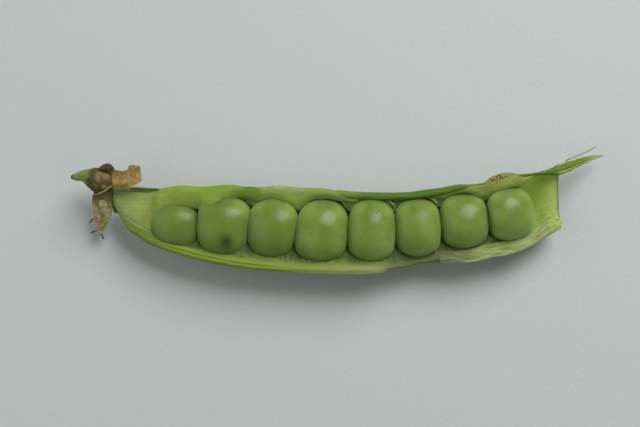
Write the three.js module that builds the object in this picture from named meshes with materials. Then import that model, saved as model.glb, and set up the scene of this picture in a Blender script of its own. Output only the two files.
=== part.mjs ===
// An opened garden pea pod lying on a table. One valve of the pod, open side up, holds eight peas in a row.
// The stalk and the dry calyx are at the left end. At the right end the valve is torn off square, and the
// string of its seam runs on as a loose tail.
//
// Millimetres. +X runs from the stalk to the tail, +Y from the near rim to the seam that the peas hang from,
// and +Z up. The origin is on the table, under the middle of the whole object.

import * as THREE from "three";
import { LoftGeometry } from "three/addons/geometries/LoftGeometry.js";

// ---------- driving dimensions ----------

const POD_START = -34.7; // where the valve narrows into the calyx
const POD_END = 39.5; // the torn end
const POD_STATIONS = 46; // sections along the valve
const SINK = 0.15; // how much of the round belly is pressed flat where it rests
const FLAT_HALF_ANGLE = 9; // degrees of the section, each side of the lowest point, that lie in the flat
const GAP = 0.3; // clearance between pieces that touch or have grown together
const SEAM_ANGLE = 34; // degrees past the widest line at which the string runs
const STRING_RADIUS = 0.5;
const STRING_START = -30.5; // where the string comes clear of the calyx
const STRING_BENDS = 20; // points that carry the string along the seam

// Where each pea ends and the next begins, along X.
const PEA_EDGES = [-27.9, -20.4, -12.0, -4.0, 4.6, 12.6, 20.1, 28.0, 35.7];
// Each pea: its middle across the pod, its half width, its half height, and its lean in degrees.
const PEAS = [
  { y: -1.75, halfWidth: 3.4, halfHeight: 3.35, lean: -5 },
  { y: -1.95, halfWidth: 4.6, halfHeight: 4.15, lean: -10 },
  { y: -2.35, halfWidth: 4.5, halfHeight: 4.25, lean: -9 },
  { y: -2.7, halfWidth: 4.85, halfHeight: 4.35, lean: -5 },
  { y: -2.9, halfWidth: 4.65, halfHeight: 4.3, lean: -1 },
  { y: -2.45, halfWidth: 4.3, halfHeight: 4.2, lean: 0 },
  { y: -1.05, halfWidth: 4.2, halfHeight: 4.15, lean: 4 },
  { y: -0.05, halfWidth: 4.1, halfHeight: 4.1, lean: 8 },
];
const PEA_CLEARANCE = 0.35; // how far a pea's lowest point stays above the wall it nestles in
const FULLNESS = 2.35; // the exponent of the rounded shapes: 2 is an ellipse, and more is squarer

// ---------- smooth functions through a few points ----------

const lerp = THREE.MathUtils.lerp;

/** A smooth function through [position, value] pairs, held level beyond the first and the last. */
function through(pairs) {
  const slope = (i) => {
    const before = pairs[Math.max(i - 1, 0)];
    const after = pairs[Math.min(i + 1, pairs.length - 1)];
    return (after[1] - before[1]) / (after[0] - before[0]);
  };
  return (at) => {
    if (at <= pairs[0][0]) return pairs[0][1];
    if (at >= pairs.at(-1)[0]) return pairs.at(-1)[1];
    const i = pairs.findIndex((pair) => pair[0] > at) - 1;
    const span = pairs[i + 1][0] - pairs[i][0];
    const t = (at - pairs[i][0]) / span;
    const rise = t * t * (3 - 2 * t);
    const leaving = t * (1 - t) ** 2 * slope(i);
    const arriving = t * t * (t - 1) * slope(i + 1);
    return lerp(pairs[i][1], pairs[i + 1][1], rise) + span * (leaving + arriving);
  };
}

const vectors = (points) => points.map((point) => new THREE.Vector3(...point));

// ---------- the valve's shape along X ----------

const farY = through([
  [POD_START, 3.9], [-34, 4.5], [-31.2, 4.6], [-28.5, 4.35], [-23, 4.6], [-14, 4.7], [-10, 4.3], [-7, 4.5],
  [0, 4.1], [5.3, 3.35], [9, 3.05], [14.7, 3.05], [20.2, 3.95], [25.7, 5.0], [28.3, 6.0], [31.8, 6.7],
  [37, 7.0], [POD_END, 7.4],
]);
const nearY = through([
  [POD_START, 2.4], [-33.6, 0.0], [-32, -2.5], [-30.3, -3.9], [-28.9, -4.9], [-26.1, -6.0], [-23.4, -6.9],
  [-19.9, -7.9], [-16, -8.7], [-10, -9.55], [-3.7, -10.0], [2.5, -10.2], [8, -10.2], [11, -9.5], [15.5, -8.6],
  [19.3, -8.1], [25, -8.0], [30.7, -6.9], [36.1, -4.6], [POD_END, -2.3],
]);
const middleY = through([
  [POD_START, 3.0], [-31, 0.5], [-24, -1.5], [-16, -2.1], [-8, -2.6],
  [0, -2.9], [8, -2.95], [16, -2.4], [24, -1.1], [32, 0.1], [POD_END, 2.4],
]);
const bellyZ = through([
  [POD_START, 4.3], [-31, 3.4], [-29, 2.4], [-27, 1.1], [-24, 0.2], [-21, -SINK], [0, -SINK], [28, -SINK],
  [33.5, 0.5], [36, 1.8], [38, 2.7], [POD_END, 3.1],
]);
const widestZ = through([
  [POD_START, 5.4], [-31, 5.3], [-28, 5.7], [-24, 6.3], [-15, 6.6], [0, 6.7], [8, 6.4], [24, 6.6], [31, 6.6],
  [36, 5.7], [POD_END, 4.9],
]);
// How far the far wall would rise above its widest line in a full quarter turn, and how many degrees it turns.
const curlHeight = through([
  [POD_START, 0.9], [-30, 1.3], [-26, 2.4], [-20, 3.6], [-15, 3.4], [-10, 2.6], [0, 2.4], [8, 2.2], [24, 2.4],
  [31, 2.6], [36, 1.8], [POD_END, 1.0],
]);
const farCurl = through([
  [POD_START, 40], [-28, 56], [-20, 52], [-10, 46], [0, 44], [8, 34], [20, 34], [26, 44], [31, 46],
  [POD_END, 34],
]);
const wallThickness = through([[POD_START, 0.35], [-31, 0.5], [-26, 0.65], [36, 0.65], [POD_END, 0.5]]);
const nearLean = through([[POD_START, 6], [-26, 10], [0, 12], [10, 14], [14, 22], [30, 24], [POD_END, 20]]);

/** A unit vector at an angle in degrees, pushed out from the circle towards a square by the fullness. */
function fullRound(degrees) {
  const angle = THREE.MathUtils.degToRad(degrees);
  const round = new THREE.Vector2(Math.cos(angle), Math.sin(angle));
  const sum = Math.abs(round.x) ** FULLNESS + Math.abs(round.y) ** FULLNESS;
  return round.multiplyScalar(sum ** (-1 / FULLNESS));
}

/**
 * A point of the valve's wall at one section. The angle starts level at the near side, passes the lowest point
 * at 90 degrees and the far widest line at 180, and goes on as the wall curls over the peas. Inset is how far
 * in it lies from the outer skin.
 */
function wallPoint(x, degrees, inset) {
  const direction = fullRound(degrees);
  const halfWidth = degrees < 90 ? middleY(x) - nearY(x) : farY(x) - middleY(x);
  const halfHeight = degrees < 180 ? widestZ(x) - bellyZ(x) : curlHeight(x);
  const y = middleY(x) - (halfWidth - inset) * direction.x;
  const z = widestZ(x) - (halfHeight - inset) * direction.y;
  return new THREE.Vector3(x, y, Math.max(z, 0));
}

/** The angles at which a section has its points: closely spaced in the flat, and even elsewhere. */
function sectionAngles(x) {
  const stops = [nearLean(x), 90 - FLAT_HALF_ANGLE, 90 + FLAT_HALF_ANGLE, 180, 180 + farCurl(x)];
  const steps = [5, 2, 5, 3];
  const angles = [stops[0]];
  steps.forEach((count, i) => {
    for (let k = 1; k <= count; k++) angles.push(lerp(stops[i], stops[i + 1], k / count));
  });
  return angles;
}

function podValve() {
  const sections = [];
  for (let i = 0; i <= POD_STATIONS; i++) {
    const x = lerp(POD_START, POD_END, i / POD_STATIONS);
    const angles = sectionAngles(x);
    const outer = angles.map((angle) => wallPoint(x, angle, 0));
    const inner = angles.map((angle) => wallPoint(x, angle, wallThickness(x))).reverse();
    sections.push([...outer, ...inner]);
  }
  return new LoftGeometry(sections, { capStart: true, capEnd: true });
}

// ---------- peas ----------

/** A rounded block: a sphere pushed out towards a box, of the given half sizes. */
function roundedBlock(halfSizes) {
  const geometry = new THREE.SphereGeometry(1, 20, 12);
  const position = geometry.getAttribute("position");
  const point = new THREE.Vector3();
  for (let i = 0; i < position.count; i++) {
    point.fromBufferAttribute(position, i);
    const sum = point.toArray().reduce((total, part) => total + Math.abs(part) ** FULLNESS, 0);
    point.multiplyScalar(sum ** (-1 / FULLNESS)).multiply(halfSizes);
    position.setXYZ(i, ...point);
  }
  return geometry;
}

/** Where a pea lies, with its half sizes. It rests on the inside of the valve's belly. */
function peaPlace(i) {
  const { y, halfWidth, halfHeight, lean } = PEAS[i];
  const x = (PEA_EDGES[i] + PEA_EDGES[i + 1]) / 2;
  const halfLength = (PEA_EDGES[i + 1] - PEA_EDGES[i] - GAP) / 2;
  const footprint = 0.5 * halfLength;
  const belly = Math.max(bellyZ(x - footprint), bellyZ(x + footprint));
  const floor = belly + wallThickness(x) + PEA_CLEARANCE;
  return {
    centre: new THREE.Vector3(x, y, floor + halfHeight),
    halfSizes: new THREE.Vector3(halfLength, halfWidth, halfHeight),
    lean: THREE.MathUtils.degToRad(lean),
  };
}

// ---------- stalks, sepals, threads and the string ----------

/**
 * A solid drawn along a curve. Its sections are ellipses, and their half width and half thickness are functions
 * of the share of the way along. Facing is the direction that the flat of the section looks in.
 */
function drawnAlong(points, halfWidth, halfThickness, facing, steps, sides) {
  const curve = new THREE.CatmullRomCurve3(vectors(points));
  const sections = [];
  for (let i = 0; i <= steps; i++) {
    const share = i / steps;
    const centre = curve.getPointAt(share);
    const tangent = curve.getTangentAt(share);
    const side = new THREE.Vector3().crossVectors(facing, tangent).normalize();
    const normal = new THREE.Vector3().crossVectors(tangent, side);
    const section = [];
    for (let k = 0; k < sides; k++) {
      const turn = (k / sides) * 2 * Math.PI;
      const point = centre.clone();
      point.addScaledVector(side, halfWidth(share) * Math.cos(turn));
      point.addScaledVector(normal, halfThickness(share) * Math.sin(turn));
      section.push(point);
    }
    sections.push(section);
  }
  return new LoftGeometry(sections, { capStart: true, capEnd: true });
}

const UP = new THREE.Vector3(0, 0, 1);

/** The string lies on the seam, just past the far wall's widest line, and leaves the torn end as a tail. */
function seamString() {
  const points = [];
  for (let i = 0; i <= STRING_BENDS; i++) {
    const x = lerp(STRING_START, POD_END + 0.3, i / STRING_BENDS);
    const point = wallPoint(x, 180 + SEAM_ANGLE, -(STRING_RADIUS + 1.5 * GAP));
    points.push(point.toArray());
  }
  points.push([41.8, 8.2, 5.3], [44.6, 9.35, 4.2], [48.0, 10.45, 2.7]);
  const halfWidth = through([
    [0, 0.3], [0.1, STRING_RADIUS], [0.84, 0.6], [0.9, 0.95], [0.96, 0.7], [1, 0.2],
  ]);
  const halfThickness = through([[0, 0.3], [0.1, STRING_RADIUS], [0.84, 0.5], [0.9, 0.4], [1, 0.15]]);
  return drawnAlong(points, halfWidth, halfThickness, UP, 56, 8);
}

/** A loose fibre of the string, which stands off beside the tail. */
function tailFibre() {
  const points = [[41.6, 9.7, 5.8], [43.1, 10.2, 5.4], [44.9, 10.85, 5.1], [46.7, 11.6, 4.8]];
  const radius = through([[0, 0.2], [0.5, 0.15], [1, 0.1]]);
  return drawnAlong(points, radius, radius, UP, 8, 6);
}

/** The green stalk, cut at its left end, and the receptacle into which it swells under the calyx. */
function stalk() {
  const points = [
    [-41.65, 6.1, 6.4], [-39.8, 6.25, 6.5], [-38, 5.85, 6.4], [-36.8, 5.6, 6.2], [-35.6, 5.0, 5.7],
  ];
  const radius = through([[0, 0.3], [0.3, 0.85], [0.6, 1.6], [0.8, 1.9], [0.92, 1.5], [1, 0.5]]);
  return drawnAlong(points, radius, radius, UP, 12, 12);
}

// Each sepal: the line of its middle, its widest half width, and the direction that its flat side looks in.
const SEPALS = {
  sepal_long: {
    points: [
      [-34.6, 6.3, 8.4], [-33.8, 6.0, 8.6], [-32.6, 5.75, 8.7], [-31.4, 5.9, 8.8], [-30.4, 6.5, 8.9],
      [-30, 7.2, 8.9],
    ],
    halfWidth: 1.2,
    facing: [0, 0, 1],
  },
  sepal_back: {
    points: [[-37.4, 7.5, 8.3], [-36.2, 7.9, 8.5], [-35.3, 7.8, 8.4], [-34.6, 7.4, 7.8]],
    halfWidth: 0.45,
    facing: [0, 0, 1],
  },
  sepal_front: {
    points: [[-38.7, 5.2, 8.3], [-38.5, 4.3, 7.7], [-37.7, 3.2, 6.9]],
    halfWidth: 0.65,
    facing: [-0.5, 0, 1],
  },
  sepal_hanging: {
    points: [[-36.6, 3.3, 4.5], [-36.6, 1.5, 4.3], [-36.9, -0.8, 3.5], [-37.3, -3.1, 2.3]],
    halfWidth: 1.6,
    facing: [0, 0, 1],
  },
  sepal_under: {
    points: [[-35.2, 3.2, 3.5], [-35.0, 1.9, 3.2], [-34.9, 0.7, 2.8]],
    halfWidth: 0.6,
    facing: [0.3, 0, 1],
  },
};

function sepal({ points, halfWidth, facing }) {
  const share = through([[0, 0.6], [0.35, 1], [0.75, 0.75], [1, 0.25]]);
  const width = (along) => halfWidth * share(along);
  return drawnAlong(points, width, () => 0.2, new THREE.Vector3(...facing), 10, 8);
}

/** A scrap of dried petal that lies on the hanging sepal. */
function driedPetal() {
  const points = [[-36.5, 2.3, 5.05], [-36.3, 1.2, 4.9], [-36.3, 0.1, 4.6]];
  const width = through([[0, 0.3], [0.5, 0.6], [1, 0.2]]);
  return drawnAlong(points, width, () => 0.15, UP, 8, 6);
}

// Dried stamens, as the lines of their threads.
const STAMENS = {
  stamen_1: [[-38.7, -0.6, 3.4], [-38.9, -0.9, 3.2], [-39.2, -1.2, 3.0]],
  stamen_2: [[-38.2, -2.5, 2.6], [-38.6, -2.6, 2.5], [-39.1, -2.9, 2.4]],
  stamen_3: [[-37.1, -3.7, 2.0], [-36.9, -3.95, 1.9], [-36.7, -4.2, 1.8]],
};

function stamen(points) {
  const radius = through([[0, 0.12], [0.7, 0.1], [1, 0.16]]);
  return drawnAlong(points, radius, radius, UP, 6, 6);
}

/** The little stalk that a pea hangs from: from the wall below the string to the pea's far right shoulder. */
function peaStalk(i) {
  const { centre, halfSizes } = peaPlace(i);
  const shoulder = fullRound(42);
  const clear = GAP + 0.3;
  const foot = new THREE.Vector3((halfSizes.x + clear) * shoulder.x, (halfSizes.y + clear) * shoulder.y, 0.4);
  foot.add(centre);
  const root = wallPoint(foot.x + 0.2, 180 + 12, wallThickness(foot.x) + clear);
  const middle = root.clone().lerp(foot, 0.5).add(new THREE.Vector3(0.12, 0, 0.1));
  const radius = through([[0, 0.3], [0.5, 0.2], [1, 0.28]]);
  const points = [root, middle, foot].map((point) => point.toArray());
  return drawnAlong(points, radius, radius, new THREE.Vector3(1, 0, 0), 4, 6);
}

// ---------- assembly ----------

const material = (color, roughness) => new THREE.MeshStandardMaterial({ color, roughness, metalness: 0 });
const podGreen = material(0x7d9a45, 0.5);
const peaGreen = material(0x6c8c3c, 0.35);
const stringGreen = material(0x4f7f22, 0.5);
const stalkGreen = material(0x6f8548, 0.6);
const dryBrown = material(0x8a6f3f, 0.85);
const paleDry = material(0xa79a78, 0.85);

const pieces = new THREE.Group();

function addPiece(name, geometry, pieceMaterial) {
  const mesh = new THREE.Mesh(geometry, pieceMaterial);
  mesh.name = name;
  pieces.add(mesh);
  return mesh;
}

addPiece("pod_valve", podValve(), podGreen);
addPiece("seam_string", seamString(), stringGreen);
addPiece("tail_fibre", tailFibre(), stringGreen);
addPiece("stalk", stalk(), stalkGreen);
for (const [name, shape] of Object.entries(SEPALS)) addPiece(name, sepal(shape), dryBrown);
addPiece("dried_petal", driedPetal(), paleDry);
for (const [name, points] of Object.entries(STAMENS)) addPiece(name, stamen(points), dryBrown);

PEAS.forEach((pea, i) => {
  const { centre, halfSizes, lean } = peaPlace(i);
  const mesh = addPiece(`pea_${i + 1}`, roundedBlock(halfSizes), peaGreen);
  mesh.position.copy(centre);
  mesh.rotation.z = lean;
  addPiece(`pea_stalk_${i + 1}`, peaStalk(i), podGreen);
});

// The origin goes under the middle of the object, at the level of the table.
const box = new THREE.Box3().setFromObject(pieces, true);
const middle = box.getCenter(new THREE.Vector3());
pieces.position.set(-middle.x, -middle.y, -box.min.z);

const peaPod = new THREE.Group();
peaPod.add(pieces);
export default peaPod;
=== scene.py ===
import bpy
import numpy as np
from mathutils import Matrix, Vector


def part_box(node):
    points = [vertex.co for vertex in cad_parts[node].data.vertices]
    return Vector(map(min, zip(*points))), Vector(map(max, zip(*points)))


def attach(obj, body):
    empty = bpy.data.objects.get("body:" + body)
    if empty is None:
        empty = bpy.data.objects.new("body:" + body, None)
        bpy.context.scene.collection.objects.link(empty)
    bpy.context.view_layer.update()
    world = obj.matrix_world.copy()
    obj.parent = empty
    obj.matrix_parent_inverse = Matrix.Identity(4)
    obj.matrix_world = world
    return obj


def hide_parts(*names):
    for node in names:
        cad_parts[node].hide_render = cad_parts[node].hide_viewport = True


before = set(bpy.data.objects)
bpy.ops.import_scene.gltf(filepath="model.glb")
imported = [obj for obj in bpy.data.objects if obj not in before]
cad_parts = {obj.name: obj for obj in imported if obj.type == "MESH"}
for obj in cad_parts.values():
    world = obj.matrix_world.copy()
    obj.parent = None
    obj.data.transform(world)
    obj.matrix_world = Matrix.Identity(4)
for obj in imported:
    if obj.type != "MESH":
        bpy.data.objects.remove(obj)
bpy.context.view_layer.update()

# ---------- Table, daylight and camera ----------
# The pod lies on a plain pale table top. Daylight falls on it from a broad window beyond it and to its right,
# and the room's own light fills the shadows. The camera hangs over the table and looks almost straight down.

MM = 0.001
valve_low, valve_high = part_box("pod_valve")
# Lengths below are millimetres from the pod's own middle: x along the pod, y across it and z up. The valve
# starts at this x, and its seam ends at this y.
POD_START = -34.7
SEAM_END_Y = 7.4
POD_MIDDLE = np.array([valve_low.x - POD_START * MM, valve_high.y - SEAM_END_Y * MM, 0.0])


def placed(points):
    """Points in millimetres from the pod's middle, as points in the frame in metres."""
    return POD_MIDDLE + MM * np.asarray(points, float)


def colour(red, green, blue):
    """A screen colour, from 0 to 255, as the linear colour that a shader takes."""
    share = np.array([red, green, blue]) / 255
    linear = np.where(share <= 0.04045, share / 12.92, ((share + 0.055) / 1.055) ** 2.4)
    return (*linear.tolist(), 1.0)


class Paint:
    """One output in a material's node tree. Arithmetic on it adds Math nodes."""

    def __init__(self, tree, socket=None):
        self.tree = tree
        self.socket = socket

    def node(self, kind, inputs, output=0, stops=(), **settings):
        """Adds a node: its settings are set first, and then each input takes a value or a link."""
        added = self.tree.nodes.new(kind)
        for name, value in settings.items():
            setattr(added, name, value)
        for index, (position, tone) in enumerate(stops):
            ramp = added.color_ramp.elements
            stop = ramp[index] if index < 2 else ramp.new(position)
            stop.position = position
            stop.color = tone
        for name, value in inputs.items():
            if isinstance(value, Paint):
                self.tree.links.new(value.socket, added.inputs[name])
            else:
                added.inputs[name].default_value = value
        return Paint(self.tree, added.outputs[output])

    def math(self, operation, *values):
        return self.node("ShaderNodeMath", dict(enumerate(values)), operation=operation)

    def __add__(self, other):
        return self.math("ADD", self, other)

    def __rsub__(self, other):
        return self.math("SUBTRACT", other, self)

    def __mul__(self, other):
        return self.math("MULTIPLY", self, other)

    __radd__ = __add__
    __rmul__ = __mul__

    def ramp(self, low, high):
        """0 below low and 1 above high, with a smooth rise between them."""
        inputs = {"Value": self, "From Min": low, "From Max": high}
        return self.node("ShaderNodeMapRange", inputs, interpolation_type="SMOOTHSTEP")

    def mix(self, first, second):
        """The first colour where this is 0, and the second where it is 1."""
        return self.node("ShaderNodeMix", {0: self, 6: first, 7: second}, 2, data_type="RGBA")

    def patches(self, first, second):
        """The first colour where this noise is low, and the second where it is high."""
        return self.ramp(0.3, 0.7).mix(first, second)

    def noise(self, where, scale, detail=2.0, roughness=0.5, stretch=(1, 1, 1)):
        """Smooth noise from 0 to 1: scale cells a millimetre, made longer by stretch along each axis."""
        squeezed = tuple(1 / length for length in stretch)
        scaled = self.node("ShaderNodeVectorMath", {0: where, 1: squeezed}, operation="MULTIPLY")
        inputs = {"Vector": scaled, "Scale": scale, "Detail": detail, "Roughness": roughness}
        return self.node("ShaderNodeTexNoise", inputs)

    def mask(self, name):
        """A named value that the mesh carries at each vertex."""
        return self.node("ShaderNodeAttribute", {}, "Fac", attribute_name=name)


def new_finish(name, sockets):
    """A material whose shader takes these constants: it, its shader, a Paint, and places in millimetres."""
    material = bpy.data.materials.new(name)
    material.use_nodes = True
    shader = material.node_tree.nodes["Principled BSDF"]
    for socket, value in sockets.items():
        shader.inputs[socket].default_value = value
    paint = Paint(material.node_tree)
    place = paint.node("ShaderNodeTexCoord", {}, "Object")
    millimetres = paint.node("ShaderNodeVectorMath", {0: place, "Scale": 1 / MM}, operation="SCALE")
    return material, shader, paint, millimetres


def feed(shader, socket, paint):
    """Links a Paint to one of the shader's sockets."""
    paint.tree.links.new(paint.socket, shader.inputs[socket])


def bump(paint, height, distance):
    """A Bump node: height from 0 to 1 stands for this many millimetres."""
    return paint.node("ShaderNodeBump", {"Height": height, "Distance": distance * MM, "Strength": 1.0})


TABLE_HALF = 2.0  # metres
table_mesh = bpy.data.meshes.new("table_top")
corners = [(TABLE_HALF * x, TABLE_HALF * y, 0) for x, y in ((-1, -1), (1, -1), (1, 1), (-1, 1))]
table_mesh.from_pydata(corners, [], [(0, 1, 2, 3)])
table_top = bpy.data.objects.new("table_top", table_mesh)
bpy.context.collection.objects.link(table_top)
table_finish, shader, paint, where = new_finish("table_paint", {"Roughness": 0.55, "Specular IOR Level": 0.3})
grain = paint.noise(where, 1.6, 4.0, 0.6)
feed(shader, "Base Color", grain.mix(colour(197, 202, 201), colour(202, 207, 206)))
feed(shader, "Normal", bump(paint, grain, 0.05))
table_mesh.materials.append(table_finish)


def area_light(name, offset, size, power, light_colour):
    """A flat light, this far from the pod in metres, turned to face it. Returns its settings."""
    settings = bpy.data.lights.new(name, "AREA")
    settings.size = size
    settings.energy = power
    settings.color = light_colour
    light = bpy.data.objects.new(name, settings)
    bpy.context.collection.objects.link(light)
    light.location = POD_MIDDLE + offset
    light.rotation_mode = "QUATERNION"
    light.rotation_quaternion = (light.location - Vector(POD_MIDDLE)).to_track_quat("Z", "Y")
    return settings


# The window: its direction from the pod, and its distance and size in metres.
WINDOW_DIRECTION = np.array([0.37, 0.57, 0.73])
WINDOW_DISTANCE = 0.7
WINDOW_WIDTH = 0.42
WINDOW_HEIGHT = 1.2 * WINDOW_WIDTH
toward_window = WINDOW_DIRECTION / np.linalg.norm(WINDOW_DIRECTION)
window = area_light("window", WINDOW_DISTANCE * toward_window, WINDOW_WIDTH, 4.5, (0.985, 0.985, 1.0))
window.shape = "RECTANGLE"
window.size_y = WINDOW_HEIGHT

# Two weaker lights stand for the pale walls of the room, to the left and at the near right.
WALL_GLOSS = 0.7  # how much of a wall's light shows in a wet or waxy surface
left_wall = area_light("left_wall", np.array([-0.42, -0.05, 0.28]), 0.6, 0.95, (0.95, 0.98, 1.0))
near_wall = area_light("near_wall", np.array([0.36, -0.22, 0.28]), 0.4, 0.22, (1.0, 0.98, 0.92))
left_wall.specular_factor = near_wall.specular_factor = WALL_GLOSS

# The rest of the room's light comes evenly from everywhere.
ROOM_COLOUR = (0.98, 0.98, 0.91, 1.0)
ROOM_STRENGTH = 0.085
world = bpy.data.worlds.new("room")
world.use_nodes = True
background = world.node_tree.nodes["Background"]
background.inputs["Color"].default_value = ROOM_COLOUR
background.inputs["Strength"].default_value = ROOM_STRENGTH
bpy.context.scene.world = world
bpy.context.scene.view_settings.view_transform = "Standard"

# The lens and its film, the width that it sees at the height of the pod's rims, and how far above the horizon
# the camera stands.
FOCAL_LENGTH = 60.0
SENSOR_WIDTH = 36.0
VIEW_WIDTH = 106.67
RIM_HEIGHT = 6.0
VIEW_ELEVATION = np.radians(82)
camera_data = bpy.data.cameras.new("camera")
camera_data.lens = FOCAL_LENGTH
camera_data.sensor_width = SENSOR_WIDTH
camera_data.clip_start = 0.01
camera = bpy.data.objects.new("camera", camera_data)
bpy.context.collection.objects.link(camera)
back = np.array([0, -np.cos(VIEW_ELEVATION), np.sin(VIEW_ELEVATION)])
distance = VIEW_WIDTH * FOCAL_LENGTH / SENSOR_WIDTH
camera.location = placed(np.array([0, 0, RIM_HEIGHT]) + distance * back)
camera.rotation_euler = (np.pi / 2 - VIEW_ELEVATION, 0, 0)
bpy.context.scene.camera = camera


# ---------- Pod valve ----------
# The valve is the pod's boat-shaped wall: a smooth green skin, a layer of pale spongy flesh and a thin inner
# membrane, grown as one piece. Its near rim is where the other valve was pulled away, its far rim curls over
# the peas, and its right end is torn off.


def through(*stops):
    """A smooth function through (position, value) stops, level beyond them. A value may be a point.

    Between two stops it is the cubic whose slope at each stop is that of the line between its neighbours.
    """
    at = np.array([stop[0] for stop in stops], float)
    value = np.array([stop[1] for stop in stops], float)
    before = np.maximum(np.arange(len(at)) - 1, 0)
    after = np.minimum(np.arange(len(at)) + 1, len(at) - 1)
    rise = value[after] - value[before]
    run = (at[after] - at[before]).reshape((-1,) + (1,) * (value.ndim - 1))
    slope = rise / run

    def curve(position):
        position = np.clip(position, at[0], at[-1])
        i = np.clip(np.searchsorted(at, position, side="right") - 1, 0, len(at) - 2)
        span = at[i + 1] - at[i]
        t = (position - at[i]) / span
        if value.ndim > 1:
            t, span = t[..., None], span[..., None]
        start = (2 * t**3 - 3 * t**2 + 1) * value[i] + (t**3 - 2 * t**2 + t) * span * slope[i]
        end = (3 * t**2 - 2 * t**3) * value[i + 1] + (t**3 - t**2) * span * slope[i + 1]
        return start + end

    return curve


def wander(seed, a, b):
    """Smooth noise from -1 to 1: random values at whole numbers of a and b, blended between them."""
    lattice = np.random.default_rng(seed).uniform(-1, 1, (64, 64))
    a, b = np.broadcast_arrays(a, b)
    i, j = np.floor(a).astype(int), np.floor(b).astype(int)
    s, t = a - i, b - j
    s, t = s * s * (3 - 2 * s), t * t * (3 - 2 * t)
    near = lattice[i % 64, j % 64] * (1 - s) + lattice[(i + 1) % 64, j % 64] * s
    far = lattice[i % 64, (j + 1) % 64] * (1 - s) + lattice[(i + 1) % 64, (j + 1) % 64] * s
    return near * (1 - t) + far * t


def hill(x, middle, half_width):
    """A smooth bell, 1 at the middle."""
    return np.exp(-(((x - middle) / half_width) ** 2))


def step(x, low, high):
    """0 below low and 1 above high, with a smooth rise between them."""
    t = np.clip((x - low) / (high - low), 0, 1)
    return t * t * (3 - 2 * t)


FULLNESS = 2.35  # the exponent of the rounded shapes: 2 is an ellipse, and more is squarer


def full_round(angle):
    """Cosine and sine of an angle, pushed out from the circle towards a square."""
    c, s = np.cos(angle), np.sin(angle)
    reach = (np.abs(c) ** FULLNESS + np.abs(s) ** FULLNESS) ** (-1 / FULLNESS)
    return c * reach, s * reach


SHARP_ANGLE = np.radians(55)  # faces that meet at more than this keep a sharp edge


def body_mesh(name, points, masks=None):
    """A closed mesh from rows of points. Each row is a closed section, each column a line along the piece.

    Neighbouring points make quads, the last column joins the first, and each end is closed by quads across
    its section. If the volume comes out negative, the faces are turned. Masks become values at the vertices.
    """
    rows, columns = points.shape[:2]
    grid = np.arange(rows * columns).reshape(rows, columns)
    turned = np.roll(grid, -1, axis=1)
    walls = np.stack([grid[:-1], turned[:-1], turned[1:], grid[1:]], axis=-1).reshape(-1, 4)
    j = np.arange(columns // 2 - 1)
    across = np.stack([j, j + 1, columns - 2 - j, columns - 1 - j], axis=-1)
    faces = np.concatenate([walls, grid[0][across[:, ::-1]], grid[-1][across]])
    p = points.reshape(-1, 3)[faces]
    six_volumes = np.cross(p[:, 1], p[:, 2]) * p[:, 0] + np.cross(p[:, 2], p[:, 3]) * p[:, 0]
    if six_volumes.sum() < 0:
        faces = faces[:, ::-1]
    mesh = bpy.data.meshes.new(name)
    mesh.vertices.add(rows * columns)
    mesh.vertices.foreach_set("co", placed(points).ravel())
    mesh.loops.add(faces.size)
    mesh.loops.foreach_set("vertex_index", faces.ravel())
    mesh.polygons.add(len(faces))
    mesh.polygons.foreach_set("loop_start", np.arange(0, faces.size, 4))
    mesh.polygons.foreach_set("use_smooth", np.ones(len(faces), bool))
    mesh.update(calc_edges=True)
    mesh.validate()
    mesh.set_sharp_from_angle(angle=SHARP_ANGLE)
    for mask, values in (masks or {}).items():
        attribute = mesh.attributes.new(mask, "FLOAT", "POINT")
        values = np.broadcast_to(values, (rows, columns)).astype(np.float32)
        attribute.data.foreach_set("value", values.ravel())
    piece = bpy.data.objects.new(name, mesh)
    bpy.context.collection.objects.link(piece)
    return piece


POD_END = 39.5
PEA_MIDDLES = np.array([-24.2, -16.2, -8.0, 0.3, 8.6, 16.35, 24.05, 31.8])

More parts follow.
